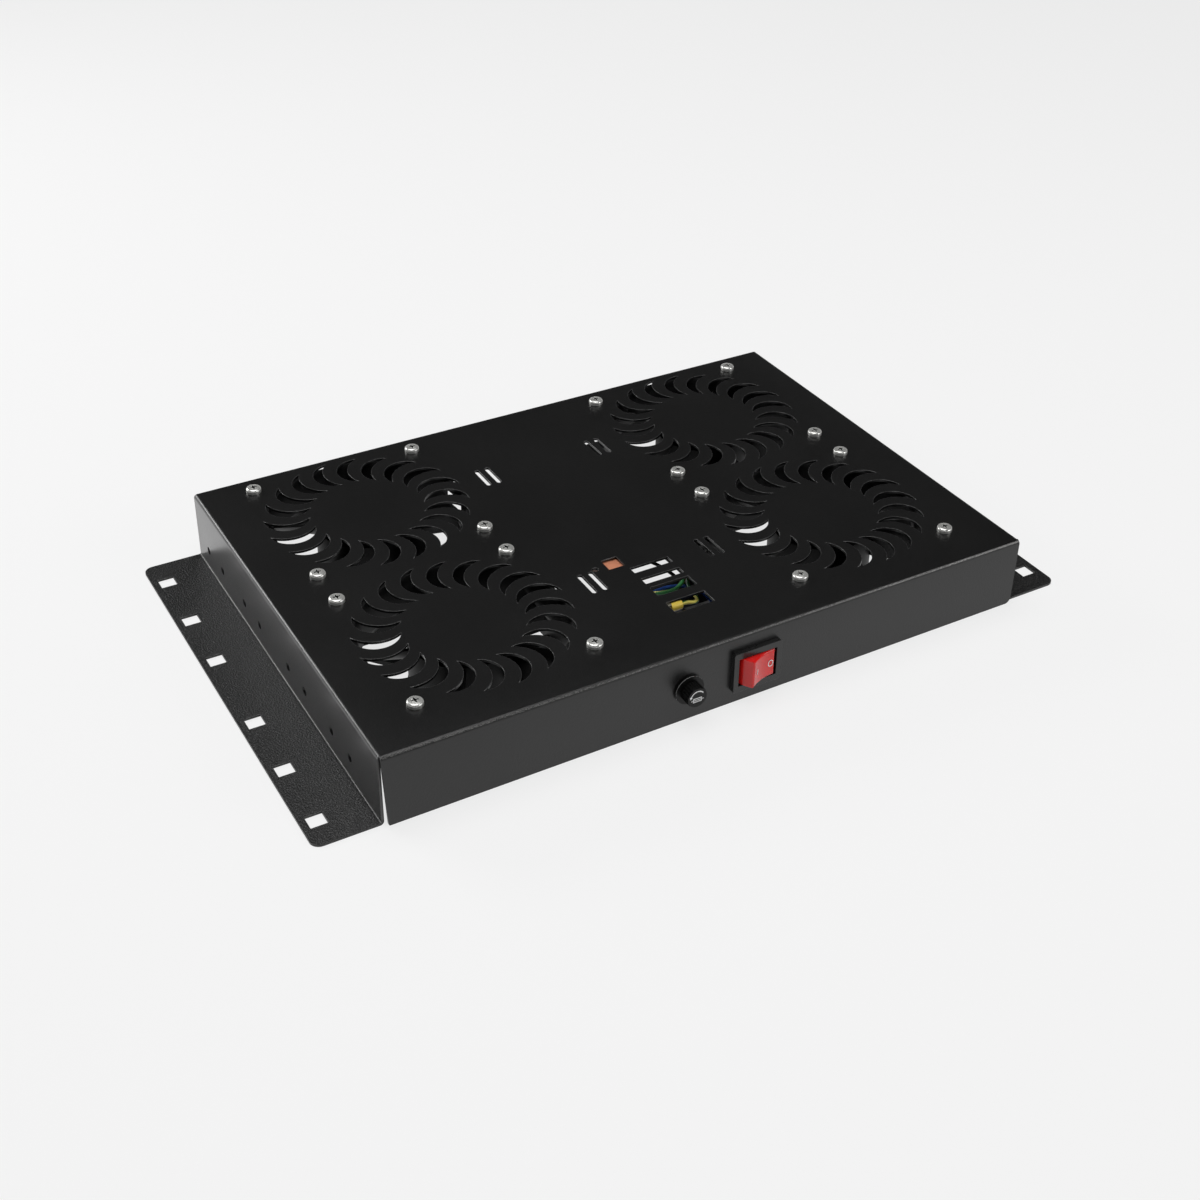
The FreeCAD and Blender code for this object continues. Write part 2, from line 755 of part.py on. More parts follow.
def switch_boots():
    """Insulated push-on receptacles over the four tabs."""
    start = front_y + switch_body_depth + boot_gap
    end = start + boot_length
    boots = []
    for tab in switch_tabs():
        bounds = tab.BoundBox
        outer = box((bounds.XMin - 2 * boot_wall, bounds.XMax + 2 * boot_wall), (start, end),
                    (bounds.ZMin - boot_wall, bounds.ZMax + boot_wall))
        inner = box((bounds.XMin - boot_fit, bounds.XMax + boot_fit), (start, bounds.YMax + boot_fit),
                    (bounds.ZMin - boot_fit, bounds.ZMax + boot_fit))
        boots.append(outer.cut(inner))
    return boots


def rocker():
    """Rocker with a hollow front face, drawn in mid position and turned to its rest."""
    right = polar(rocker_span / 2, -rocker_rise)
    left = Vector(-right.x, right.y, 0)
    waist = Vector(rocker_waist / 2, 0, 0)
    skirt = Vector(0, rocker_skirt, 0)
    path = [right, waist, waist + skirt, skirt - waist, -waist, left]
    edges = [Part.LineSegment(start, end).toShape() for start, end in zip(path, path[1:])]
    edges.append(Part.Arc(left, Vector(0, -rocker_valley, 0), right).toShape())
    body = Part.Face(Part.Wire(edges)).extrude(axis_z * rocker_height)
    noses = [edge for edge in body.Edges
             if all(abs(abs(v.X) - right.x) + abs(v.Y - right.y) < same_point
                    for v in edge.Vertexes)]
    body = body.makeFillet(rocker_nose, noses)
    body.translate(-axis_z * (rocker_height / 2))
    reach = axis_z * (rocker_height / 2 + pivot_reach)
    body = body.fuse(rod(pivot_d, -reach, reach))
    body.rotate(Vector(), axis_z, rocker_travel / 2)
    body.translate(pivot)
    return body


# ---------------------------------------------------------------- fuse holder

fuse_spot = Vector(fuse_x, front_y, fuse_z)
fuse_rear = fuse_cap_skirt - fuse_ring_thick - fuse_socket + fuse_length
side_tab_start = sheet + fuse_nut_thick + side_tab_gap


def along(distance):
    """Point on the fuse axis, distance back from the panel face."""
    return fuse_spot + Vector(0, distance, 0)


def fuse_tab_rear():
    half_t = fuse_tab_thick / 2
    half_w = fuse_tab_width / 2
    start = fuse_barrel_length - fuse_tab_root
    return box((fuse_x - half_t, fuse_x + half_t),
               (front_y + start, front_y + fuse_barrel_length + fuse_tab_length),
               (fuse_z - half_w, fuse_z + half_w))


def fuse_tab_side():
    half_w = fuse_tab_width / 2
    start_y = front_y + side_tab_start
    half_t = fuse_tab_thick / 2
    return box((fuse_x + fuse_barrel_d / 2 - fuse_fit, fuse_x + fuse_barrel_d / 2 + fuse_tab_length),
               (start_y, start_y + fuse_tab_width), (fuse_z - half_t, fuse_z + half_t))


def fuse_body():
    ring = rod(fuse_ring_d, along(-fuse_ring_thick), along(0))
    barrel = rod(fuse_barrel_d, along(0), along(fuse_barrel_length))
    mouth = rod(fuse_cap_skirt_d + 2 * fuse_fit, along(-fuse_ring_thick),
                along(fuse_cap_skirt - fuse_ring_thick + fuse_seat_gap))
    bore = rod(fuse_d + 2 * fuse_bore_gap, along(0), along(fuse_rear + fuse_seat_gap))
    return ring.fuse(barrel).cut([mouth, bore, fuse_tab_rear(), fuse_tab_side()])


def fuse_nut():
    start = sheet
    outer = rod(fuse_nut_d, along(start), along(start + fuse_nut_thick))
    flats = centred_flats(fuse_nut_flats, start, start + fuse_nut_thick)
    hole = rod(fuse_barrel_d + 2 * thread_gap, along(start), along(start + fuse_nut_thick))
    return outer.common(flats).cut(hole)


def centred_flats(width, start, end):
    half = width / 2
    return box((fuse_x - fuse_nut_d, fuse_x + fuse_nut_d), (front_y + start, front_y + end),
               (fuse_z - half, fuse_z + half))


def fuse_cap():
    """Ribbed knob with a skirt that holds the fuse inside the barrel."""
    seat = -fuse_ring_thick - fuse_seat_gap
    knob = rod(fuse_cap_d - 2 * fuse_cap_rib, along(-fuse_cap_reach), along(seat))
    ribs = []
    for k in range(fuse_cap_ribs):
        turn = k * 360 / fuse_cap_ribs
        radius = fuse_cap_d / 2 - fuse_cap_rib
        spot = Vector(radius * math.cos(math.radians(turn)), 0, radius * math.sin(math.radians(turn)))
        ribs.append(rod(2 * fuse_cap_rib, along(-fuse_cap_reach + fuse_cap_rib * 2) + spot,
                        along(seat - fuse_cap_rib) + spot))
    skirt = rod(fuse_cap_skirt_d, along(seat), along(fuse_cap_skirt - fuse_ring_thick))
    socket = rod(fuse_d + 2 * fuse_fit, along(fuse_rear - fuse_length - fuse_seat_gap),
                 along(fuse_cap_skirt))
    return knob.fuse(ribs + [skirt]).cut(socket)


def fuse_glass():
    return tube(fuse_glass_d, fuse_glass_bore, along(fuse_rear - fuse_length + fuse_fit),
                along(fuse_rear - fuse_fit))


def fuse_end_caps():
    """Metal caps on both ends of the glass, with the fuse wire left out of sight."""
    front = fuse_rear - fuse_length
    spans = [(front, front + fuse_cap_length, front + fuse_fit),
             (fuse_rear - fuse_cap_length, fuse_rear, fuse_rear - fuse_fit)]
    caps = []
    for start, end, floor in spans:
        hollow = (floor, end) if floor < (start + end) / 2 else (start, floor)
        caps.append(rod(fuse_d, along(start), along(end)).cut(
            rod(fuse_glass_d, along(hollow[0]), along(hollow[1]))))
    return caps


# ---------------------------------------------------------------- terminal block and earth

def block_body():
    x_span = (block_left, block_right)
    y_span = (block_front + layout_y, block_rear + layout_y)
    body = box(x_span, y_span, (tray_height - block_bottom, tray_height - block_top))
    middle = (block_left + block_right) / 2
    cuts = [rod(block_stud_d + plate_hole_extra, at(middle, row, 0),
                at(middle, row, block_bottom + cut_past))
            for row in block_stud_rows]
    cuts += [rod(clamp_screw_d, spot - axis_z * cut_past, spot + axis_z * (clamp_sink + clamp_length))
             for spot in clamp_spots()]
    return body.cut(cuts)


def clamp_spots():
    middle = (block_left + block_right) / 2
    return [at(middle + side * clamp_gap / 2, row, block_bottom)
            for row in clamp_rows for side in (-1, 1)]


def clamp_screws():
    return [rod(clamp_screw_d - 2 * thread_gap, spot + axis_z * clamp_sink,
                spot + axis_z * (clamp_sink + clamp_length)) for spot in clamp_spots()]


def block_nuts():
    middle = (block_left + block_right) / 2
    return [nut(block_nut_flats, block_stud_d + 2 * thread_gap,
                at(middle, row, block_bottom + block_nut_height), block_nut_height)
            for row in block_stud_rows]


def ring_terminal():
    """Ring under the earth nut, its tongue and the crimp barrel."""
    centre = at(earth_x, earth_y, sheet + ring_thick)
    ring = rod(ring_d, centre, centre + axis_z * ring_thick)
    half = tongue_width / 2
    tongue = box((earth_x, sleeve_start), (centre.y - half, centre.y + half),
                 (centre.z, centre.z + ring_thick))
    rise_top = centre.z + ring_thick
    rise = box((barrel_start - ring_thick, sleeve_start),
               (centre.y - strap_width / 2, centre.y + strap_width / 2),
               (tray_height - barrel_depth - barrel_d / 4, rise_top))
    barrel = rod(barrel_d, at(barrel_start, earth_y, barrel_depth),
                 at(sleeve_start, earth_y, barrel_depth))
    hole = rod(earth_stud_d + 2 * thread_gap, centre - axis_z * cut_past,
               centre + axis_z * (ring_thick + cut_past))
    return ring.fuse([tongue, rise, barrel]).cut(hole)


def crimp_sleeve():
    return rod(sleeve_d, at(sleeve_start, earth_y, barrel_depth), at(barrel_end, earth_y, barrel_depth))


def earth_nut():
    return nut(nut_flats, earth_stud_d + 2 * thread_gap,
               at(earth_x, earth_y, sheet + ring_thick + nut_height), nut_height)


# ---------------------------------------------------------------- junction box

def jbox_span(inset=0.0):
    return ((jbox_left + inset, jbox_right - inset),
            (jbox_front + layout_y + inset, jbox_rear + layout_y - inset))


def jbox_body():
    x_span, y_span = jbox_span()
    top = tray_height - jbox_top
    bottom = tray_height - jbox_bottom + jbox_lid_thick
    body = box(x_span, y_span, (bottom, top))
    x_in, y_in = jbox_span(jbox_wall)
    body = body.cut(box(x_in, y_in, (bottom, top - jbox_wall)))
    posts = [rod(jbox_post_d, at(jbox_post_x, row, jbox_top), at(jbox_post_x, row, sheet))
             for row in jbox_post_rows]
    bosses = [rod(jbox_boss_d, at(x, y, jbox_bottom - jbox_lid_thick), at(x, y, jbox_top))
              for x, y in jbox_screw_spots]
    holes = [rod(jbox_stud_d + plate_hole_extra, at(jbox_post_x, row, 0),
                 at(jbox_post_x, row, jbox_top + jbox_wall + cut_past)) for row in jbox_post_rows]
    holes += [rod(jbox_screw_d, at(x, y, jbox_bottom),
                  at(x, y, jbox_bottom - jbox_screw_length - jbox_hole_past))
              for x, y in jbox_screw_spots]
    return body.fuse(posts + bosses).cut(holes)


def jbox_nuts():
    depth = jbox_top + jbox_wall + block_nut_height
    return [nut(block_nut_flats, jbox_stud_d + 2 * thread_gap, at(jbox_post_x, row, depth),
                block_nut_height) for row in jbox_post_rows]


def jbox_lid():
    x_span, y_span = jbox_span()
    low = tray_height - jbox_bottom
    lid = box(x_span, y_span, (low, low + jbox_lid_thick))
    holes = [rod(jbox_screw_d + plate_hole_extra, at(x, y, jbox_bottom + cut_past),
                 at(x, y, jbox_top))
             for x, y in jbox_screw_spots]
    return lid.cut(holes)


def jbox_screws():
    screws = []
    for x, y in jbox_screw_spots:
        seat = at(x, y, jbox_bottom)
        head = rod(jbox_screw_head_d, seat - axis_z * jbox_screw_head, seat)
        shank = rod(jbox_screw_d - 2 * thread_gap, seat, seat + axis_z * jbox_screw_length)
        screws.append(head.fuse(shank))
    return screws


# ---------------------------------------------------------------- wires

def cord(name, diameter, points):
    """Round wire along straight runs joined by tangent arcs, as large as the runs allow."""
    edges = []
    radii = []
    last = points[0]
    for before, corner, after in zip(points, points[1:], points[2:]):
        reach = wire_bend_share * min((before - corner).Length, (after - corner).Length)
        back = (before - corner).normalize()
        ahead = (after - corner).normalize()
        half = back.getAngle(ahead) / 2
        radius = reach * math.tan(half)
        radii.append(round(radius, 1))
        inward = (back + ahead).normalize()
        middle = corner + inward * (radius / math.sin(half) - radius)
        start = corner + back * reach
        end = corner + ahead * reach
        edges.append(Part.LineSegment(last, start).toShape())
        edges.append(Part.Arc(start, middle, end).toShape())
        last = end
    edges.append(Part.LineSegment(last, points[-1]).toShape())
    path = Part.Wire(edges)
    section = Part.Wire(Part.makeCircle(diameter / 2, points[0], points[1] - points[0]))
    solid = path.makePipeShell([section], True, False, 0)
    ratio = solid.Volume / (math.pi * diameter ** 2 / 4 * path.Length)
    print(name, "length", round(path.Length, 1), "radii", radii, "volume ratio", round(ratio, 4))
    return solid


def lead_start(fan):
    """The lead lies on its strut from the motor base out through the duct wall."""
    centre, turn = fan_places[fan]
    level = centre - axis_z * (sheet - lead_level)
    return [level + polar(radius, lead_angle + turn) for radius in lead_radii]


lead_routes = {
    "a": [(-33, 40, 34), (-10, 24, 31), (9, 2, 27), (20.2, -22, 24.8), (24.6, -38, 24.2),
          (24.6, jbox_rear, 24.2)],
    "b": [(-141, -131.6, 33.4), (-126, -133.4, 33.4), (-96, -132.4, 33.6), (-62, -129, 34),
          (-47, -112, 34.4), (-38, -90, 33.5), (-25, -76, 30), (-14, -66, 27.5), (-7, -63, 27),
          (jbox_left, -63, 27)],
    "c": [(38, 93, 33), (32, 74, 30.5), (31.5, 48, 27.5), (29.3, 20, 25.5), (29.6, -8, 24.4),
          (30.4, -32, 24.2), (30.4, jbox_rear, 24.2)],
    "d": [(43.5, -28.5, 33), (37.5, -33, 29), (36, -41, 26), (36, jbox_rear, 26)],
}


def straight_free(points):
    """Leave out a middle point that lies in line with its neighbours."""
    kept = [points[0]]
    for corner, after in zip(points[1:], points[2:]):
        if (corner - kept[-1]).getAngle(after - corner) > straight_limit:
            kept.append(corner)
    return kept + [points[-1]]


def lead(fan):
    points = lead_start(fan) + [at(*spot) for spot in lead_routes[fan]]
    return cord("lead_" + fan, lead_d, straight_free(points))


tab_end = -layout_line + switch_body_depth + boot_gap + boot_length
tab_left = switch_x - tab_columns / 2
tab_right = switch_x + tab_columns / 2
tab_high = tray_height - switch_z - tab_rows / 2
tab_low = tray_height - switch_z + tab_rows / 2
fuse_depth = tray_height - fuse_z
fuse_end = -layout_line + fuse_barrel_length + fuse_tab_length
side_tab_x = fuse_x + fuse_barrel_d / 2 + fuse_tab_length
side_tab_y = -layout_line + side_tab_start + fuse_tab_width / 2
wire_routes = {
    "wire_earth_stud": [(barrel_end, earth_y, barrel_depth), (1.2, earth_y, barrel_depth),
                        (5.2, -95.6, 5.4), (9.2, -93.4, 6.4), (11.6, -86.4, 8.3), (15.0, -74.5, 11),
                        (19.2, -66, 12.6), (22.8, -61, 14.6), (23.8, -59.6, 16.8),
                        (23.8, -59.6, jbox_top)],
    "wire_earth_block": [(-14.6, block_front, 8), (-14.6, -64.5, 8), (-12, -69.8, 8.4),
                         (-6, -73.6, 9), (4.5, -75.6, 9), (12.7, -71.2, 8.8), (19, -64.4, 9.6),
                         (24.6, -58.6, 12.2), (27.6, -55.4, 16.2), (27.6, -55.4, jbox_top)],
    "wire_neutral": [(-17.85, block_front, 8), (-17.85, -63.6, 8), (-16.2, -67.6, 10.6),
                     (-8.5, -67.6, 12.6), (3.6, -62.4, 15.5), (15, -64.2, 15.4), (21.4, -71.5, 15.6),
                     (23.4, -80.5, 15.6), (tab_right, -88, tab_high), (tab_right, tab_end, tab_high)],
    "wire_live": [(-21.2, block_front, 8), (-21.2, -65, 8), (-22, -74, 11), (-23.6, -81.5, 15.6),
                  (-25, -88, 20.4), (fuse_x, fuse_end + live_straight, fuse_depth),
                  (fuse_x, fuse_end, fuse_depth)],
    "wire_fused": [(side_tab_x, side_tab_y, fuse_depth), (-8, side_tab_y, fuse_depth),
                   (-3.6, -127.5, 24.5), (-1.6, -118, 26.5), (-1.0, -104, 28.2), (-0.4, -92, 28.4),
                   (1.8, -85.8, 28.6), (6.4, -84.4, 28.6), (tab_left, -88, tab_low),
                   (tab_left, tab_end, tab_low)],
    "wire_switched": [(tab_left, tab_end, tab_high), (tab_left, -90.2, tab_high),
                      (tab_left, -84.4, 22.6), (tab_left, jbox_front, 22.6)],
    "wire_return": [(tab_right, tab_end, tab_low), (tab_right, -90, tab_low), (24.4, -84.5, 27.4),
                    (24.4, jbox_front, 27.4)],
}


def wire(name):
    return cord(name, wire_d, [at(*spot) for spot in wire_routes[name]])


# ---------------------------------------------------------------- parts

os.makedirs("parts", exist_ok=True)
save("chassis_tray", tray())

frame_shape = fan_frame()
impeller_shape = impeller()
for fan, (spot, turn) in fan_places.items():
    spin = turn + blade_phase[fan]
    save("fan_" + fan + "_frame", place(frame_shape, spot, turn))
    save("fan_" + fan + "_impeller", place(impeller_shape, spot, spin))
    save("fan_" + fan + "_rotor", place(rotor_ring(), spot, turn))
    save("fan_" + fan + "_shaft", place(shaft(), spot, turn))
    save("fan_" + fan + "_bearings", [place(ring, spot, turn) for ring in bearings()])
    save("fan_" + fan + "_stator", [place(ring, spot, turn) for ring in stator()])
    save("fan_" + fan + "_lead", lead(fan))
save("fan_screws", [pan_screw(spot) for spot in screw_spots])
save("fan_nuts", fan_nuts())

save("switch_body", switch_body())
save("switch_rocker", rocker())
save("switch_tabs", switch_tabs())
save("switch_boots", switch_boots())

save("fuse_holder_body", fuse_body())
save("fuse_holder_nut", fuse_nut())
save("fuse_holder_tabs", [fuse_tab_rear(), fuse_tab_side()])
save("fuse_holder_cap", fuse_cap())
save("fuse_glass", fuse_glass())
save("fuse_end_caps", fuse_end_caps())

save("terminal_block", block_body())
save("terminal_clamp_screws", clamp_screws())
save("terminal_block_nuts", block_nuts())
save("earth_ring_terminal", ring_terminal())
save("earth_crimp_sleeve", crimp_sleeve())
save("earth_nut", earth_nut())

save("junction_box", jbox_body())
save("junction_box_nuts", jbox_nuts())
save("junction_box_lid", jbox_lid())
save("junction_box_screws", jbox_screws())

for name in wire_routes:
    save(name, wire(name))
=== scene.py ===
import bmesh
import bpy
import json
import math
from mathutils import Matrix, Vector


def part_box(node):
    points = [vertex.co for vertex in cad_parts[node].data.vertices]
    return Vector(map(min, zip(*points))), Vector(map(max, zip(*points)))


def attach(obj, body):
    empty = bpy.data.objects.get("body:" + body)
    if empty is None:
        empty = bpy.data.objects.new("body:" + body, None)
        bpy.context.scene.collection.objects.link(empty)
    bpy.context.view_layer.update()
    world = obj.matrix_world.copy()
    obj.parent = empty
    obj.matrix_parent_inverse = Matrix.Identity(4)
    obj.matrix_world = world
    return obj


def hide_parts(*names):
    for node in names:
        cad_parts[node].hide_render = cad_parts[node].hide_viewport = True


# Rack fan tray, metres.  X runs along the width, the front panel faces -Y, Z is up.

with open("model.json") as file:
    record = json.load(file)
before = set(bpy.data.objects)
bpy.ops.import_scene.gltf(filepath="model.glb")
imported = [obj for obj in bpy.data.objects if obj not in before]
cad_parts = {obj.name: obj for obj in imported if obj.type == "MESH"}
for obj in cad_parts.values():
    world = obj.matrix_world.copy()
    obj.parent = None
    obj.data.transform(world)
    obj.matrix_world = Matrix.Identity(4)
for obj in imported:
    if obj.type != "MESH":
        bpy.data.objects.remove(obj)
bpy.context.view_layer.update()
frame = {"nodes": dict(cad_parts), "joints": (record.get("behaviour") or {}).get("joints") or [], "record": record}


# ---------------------------------------------------------------- sizes and places

mm = 0.001
tray_low, tray_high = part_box("chassis_tray")
plate_top = tray_high.z
front_face = tray_low.y
rear_edge = tray_high.y
plate_middle = (front_face + rear_edge) / 2
sheet = 1.5 * mm
wall_face = 205 * mm            # outer face of each side wall from the middle of the tray
rack_hole_column = 232.55 * mm  # middle of the holes in each flange, likewise
screw_half = 52.4 * mm          # half the side of a fan's screw square
screw_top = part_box("fan_screws")[1].z
screw_recess = 2.4 * mm         # radius of the cross recess at its tips
fuse_ring_radius = 8.8 * mm
fuse_ring_thick = 2.0 * mm
crease = math.radians(32)       # sharper edges than this stay edges

pivots = {joint["name"]: Vector(joint["pos_m"]) for joint in frame["joints"] if "pos_m" in joint}
rear_fan = pivots["fan_a_spin"]
front_fan = pivots["fan_b_spin"]
fan_across = abs(rear_fan.x)    # middle of each fan from the middle of the tray
fan_middle = (rear_fan.y + front_fan.y) / 2
fan_along = (rear_fan.y - front_fan.y) / 2

cap_low, cap_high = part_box("fuse_holder_cap")
cap_x = (cap_low.x + cap_high.x) / 2
cap_z = (cap_low.z + cap_high.z) / 2

slots = {part["node"]: part["material_slot"] for part in frame["record"]["subparts"]}
bodies = frame["record"]["behaviour"]["bodies"]
body_of_node = {node: body for body, members in bodies.items() for node in members}


# ---------------------------------------------------------------- shader expressions

def operator(operation, swapped=False):
    """Method that adds the Math node of this operation."""
    def apply(self, other):
        pair = (other, self) if swapped else (self, other)
        return self.finish.node("ShaderNodeMath", {"operation": operation}, dict(enumerate(pair)))
    return apply


class Value:
    """A socket in a shader expression: each operator adds its Math node."""

    def __init__(self, finish, socket):
        self.finish = finish
        self.socket = socket

    __add__ = operator("ADD")
    __radd__ = operator("ADD")
    __sub__ = operator("SUBTRACT")
    __rsub__ = operator("SUBTRACT", True)
    __mul__ = operator("MULTIPLY")
    __rmul__ = operator("MULTIPLY")
    __truediv__ = operator("DIVIDE")
    __mod__ = operator("FLOORED_MODULO")

    def size(self):
        return self.finish.node("ShaderNodeMath", {"operation": "ABSOLUTE"}, {0: self})

    def rise(self, low, high):
        """0 up to low, 1 from high on, with a smooth step between them."""
        return self.finish.node("ShaderNodeMapRange", {"interpolation_type": "SMOOTHSTEP"},
                                {"Value": self, "From Min": low, "From Max": high})

    def fall(self, low, high):
        """1 up to low, 0 from high on."""
        return 1 - self.rise(low, high)

    def sisters(self, names):
        """Sockets of these names on the node that made this one."""
        outputs = self.socket.node.outputs
        return [Value(self.finish, outputs[name]) for name in names]


class Finish:
    """One material or world, made from nodes."""

    def __init__(self, name, world=None):
        self.material = world or bpy.data.materials.new(name)
        self.material.use_nodes = True
        self.tree = self.material.node_tree
        self.tree.nodes.clear()

    def node(self, kind, settings=None, inputs=None, output=0):
        """A node with its settings, then the values or links of its sockets."""
        node = self.tree.nodes.new(kind)
        for key, value in (settings or {}).items():
            setattr(node, key, value)
        for key, value in (inputs or {}).items():
            if isinstance(value, Value):
                self.tree.links.new(value.socket, node.inputs[key])
            else:
                node.inputs[key].default_value = value
        return Value(self, node.outputs[output])

    def spot(self):
        return self.node("ShaderNodeTexCoord", output="Object")

    def split(self, vector):
        return self.node("ShaderNodeSeparateXYZ", {}, {0: vector}).sisters("XYZ")

    def noise(self, grain, detail=2.0, rough=0.5, stretch=(1, 1, 1)):
        """Noise from 0 to 1 whose grains are about this size, in metres."""
        placed = self.node("ShaderNodeMapping", {}, {
            "Vector": self.spot(), "Scale": [s / grain for s in stretch]})
        return self.node("ShaderNodeTexNoise", {}, {
            "Vector": placed, "Scale": 1.0, "Detail": detail, "Roughness": rough})

    def cells(self, grain):
        """Rounded bumps of about this size that touch each other."""
        placed = self.node("ShaderNodeMapping", {}, {
            "Vector": self.spot(), "Scale": [1 / grain] * 3})
        return self.node("ShaderNodeTexVoronoi", {"feature": "SMOOTH_F1"}, {
            "Vector": placed, "Scale": 1.0, "Smoothness": 0.6})

    def mix(self, amount, first, second):
        """Colour from first to second as amount goes from 0 to 1."""
        inputs = {"Factor": amount, 6: first, 7: second}
        return self.node("ShaderNodeMix", {"data_type": "RGBA"}, inputs, output=2)

    def bump(self, height, distance):
        return self.node("ShaderNodeBump", {}, {
            "Height": height, "Distance": distance, "Strength": 1.0})

    def surface(self, **sockets):
        """A principled surface, its sockets under short names."""
        names = {"colour": "Base Color", "roughness": "Roughness", "metallic": "Metallic",
                 "coat": "Coat Weight", "coat_roughness": "Coat Roughness", "normal": "Normal",
                 "ior": "IOR", "clear": "Transmission Weight", "specular": "Specular IOR Level"}
        inputs = {names[key]: value for key, value in sockets.items()}
        return self.shown(self.node("ShaderNodeBsdfPrincipled", {}, inputs))

    def shown(self, shader, kind="ShaderNodeOutputMaterial"):
        """Join the shader to the output, and hand over the material."""
        out = self.tree.nodes.new(kind)
        self.tree.links.new(shader.socket, out.inputs["Surface"])
        return self.material


def grey(level, warm=0.0):
    """A grey, or one that leans to red by this share."""
    return (level * (1 + warm), level, level * (1 - warm), 1)


# ---------------------------------------------------------------- finishes

def bend_wear_and_highlight(y, z, fine):
    """1 in spots along the middle of the bend between the plate and the panel: worn coat that also serves as a
    painted highlight on the bend.
    """
    band = z.rise(plate_top - 1.25 * mm, plate_top - 0.9 * mm)
    band = band * z.fall(plate_top - 0.4 * mm, plate_top - 0.2 * mm)
    return band * y.fall(front_face + 1.3 * mm, front_face + 1.7 * mm) * fine.rise(0.40, 0.64)


def inner_fold(out, z):
    """1 in the hollow of the bend between each side wall and its flange."""
    band = z.rise(sheet + 0.05 * mm, sheet + 0.2 * mm) * z.fall(sheet + 0.5 * mm, sheet + 0.8 * mm)
    return band * out.rise(wall_face - 0.2 * mm, wall_face)


def powder_coat():
    """Satin black powder coat, leathery on the flanges, glossy on the walls, pale along the bends with wear and a
    painted highlight.
    """
    f = Finish("powder_black")
    x, y, z = f.split(f.spot())
    out = x.size()
    peel = f.cells(1.1 * mm)
    fine = f.noise(0.4 * mm, detail=3, rough=0.6)
    cloud = f.noise(60 * mm, detail=2)
    flange = z.fall(2.5 * mm, 4 * mm) * out.rise(wall_face + 0.5 * mm, wall_face + 2 * mm)
    wall = out.rise(wall_face - sheet, wall_face - 0.5 * mm) * z.rise(1.6 * mm, 4 * mm)
    fold = inner_fold(out, z)
    # Pale bend colour: partly wear, partly a painted highlight that grows towards the right, plus a painted
    # highlight in each flange fold.
    wear_and_highlight = bend_wear_and_highlight(y, z, fine) * (0.5 + 0.5 * x.rise(0.0, 200 * mm)) + 0.3 * fold
    dust = f.noise(4 * mm, detail=5, rough=0.75).rise(0.66, 0.8) * 0.1
    base = f.mix(cloud, grey(0.0045), grey(0.0065))
    base = f.mix(dust, base, grey(0.05))
    base = f.mix(wear_and_highlight, base, grey(0.38, 0.02))
    rough = 0.30 + 0.06 * cloud + 0.15 * wear_and_highlight + 0.06 * flange
    height = peel * (0.4 + 2.3 * flange) + fine * (0.35 + 0.9 * flange)
    return f.surface(colour=base, roughness=rough, normal=f.bump(height, 0.10 * mm), ior=1.52,
                     coat=0.75 * wall + 0.6 * fold, coat_roughness=0.26)


def edge_highlight_coat():
    """The same coat, paler along a cut edge as a painted highlight."""
    f = Finish("powder_edge_highlight")
    fine = f.noise(0.8 * mm, detail=3, rough=0.6)
    base = f.mix(fine.rise(0.35, 0.65), grey(0.03), grey(0.10))
    return f.surface(colour=base, roughness=0.24 + 0.08 * fine,
                     normal=f.bump(fine, 0.03 * mm), ior=1.6)


def pale_rim_highlight():
    """Pale moulded rim, its light tone a painted highlight all round."""
    f = Finish("fuse_rim_highlight")
    cloud = f.noise(3 * mm)
    return f.surface(colour=f.mix(cloud, grey(0.26), grey(0.40)), roughness=0.2 + 0.05 * cloud,
                     ior=1.6)


def black_casting():
    """Die-cast frame under a thin matt paint."""
    f = Finish("fan_casting")
    grain = f.noise(0.5 * mm, detail=3)
    cloud = f.noise(25 * mm)
    base = f.mix(cloud, grey(0.003), grey(0.006))
    return f.surface(colour=base, roughness=0.46 + 0.12 * cloud, specular=0.22,
                     normal=f.bump(grain, 0.05 * mm))


def moulded(name, dark, light, roughness, grain=0.4 * mm, depth=0.02 * mm, specular=0.5):
    """Moulded plastic with faint flow marks and a fine texture."""
    f = Finish(name)
    flow = f.noise(9 * mm, detail=2, stretch=(1, 1, 0.4))
    fine = f.noise(grain, detail=2)
    base = f.mix(flow, dark, light)
    rough = roughness + 0.07 * flow
    return f.surface(colour=base, roughness=rough, normal=f.bump(fine, depth), specular=specular)


def drawn_metal(name, colour, shade, roughness, stretch=(1, 1, 1)):
    """Metal with fine scratches across the stretched direction and a clouded tone."""
    f = Finish(name)
    lines = f.noise(0.5 * mm, detail=4, rough=0.65, stretch=stretch)
    cloud = f.noise(3 * mm)
    base = f.mix(cloud, colour, shade)
    return f.surface(colour=base, metallic=1.0, roughness=roughness + 0.12 * lines,
                     normal=f.bump(lines, 0.012 * mm))


def zinc_plate():
    """Bright zinc plate, with painted shade in the recess of each fan screw."""
    f = Finish("zinc")
    x, y, z = f.split(f.spot())
    across = (x.size() - fan_across).size() - screw_half
    along = ((y - fan_middle).size() - fan_along).size() - screw_half
    inside = (across * across + along * along).fall((screw_recess - 0.1 * mm) ** 2,
                                                    (screw_recess + 0.1 * mm) ** 2)
    sunk = z.fall(screw_top - 0.42 * mm, screw_top - 0.22 * mm)
    sunk = sunk * z.rise(plate_top, screw_top - 2 * mm)
    lines = f.noise(0.5 * mm, detail=4, rough=0.65)
    cloud = f.noise(3 * mm)
    base = f.mix(cloud, (0.90, 0.90, 0.87, 1), (0.74, 0.74, 0.71, 1))
    # Painted shade: the recess of each screw head is darkened to near black.
    base = f.mix(inside * sunk * 0.95, base, grey(0.015))
    return f.surface(colour=base, metallic=0.72, roughness=0.24 + 0.12 * lines,
                     normal=f.bump(lines, 0.012 * mm))


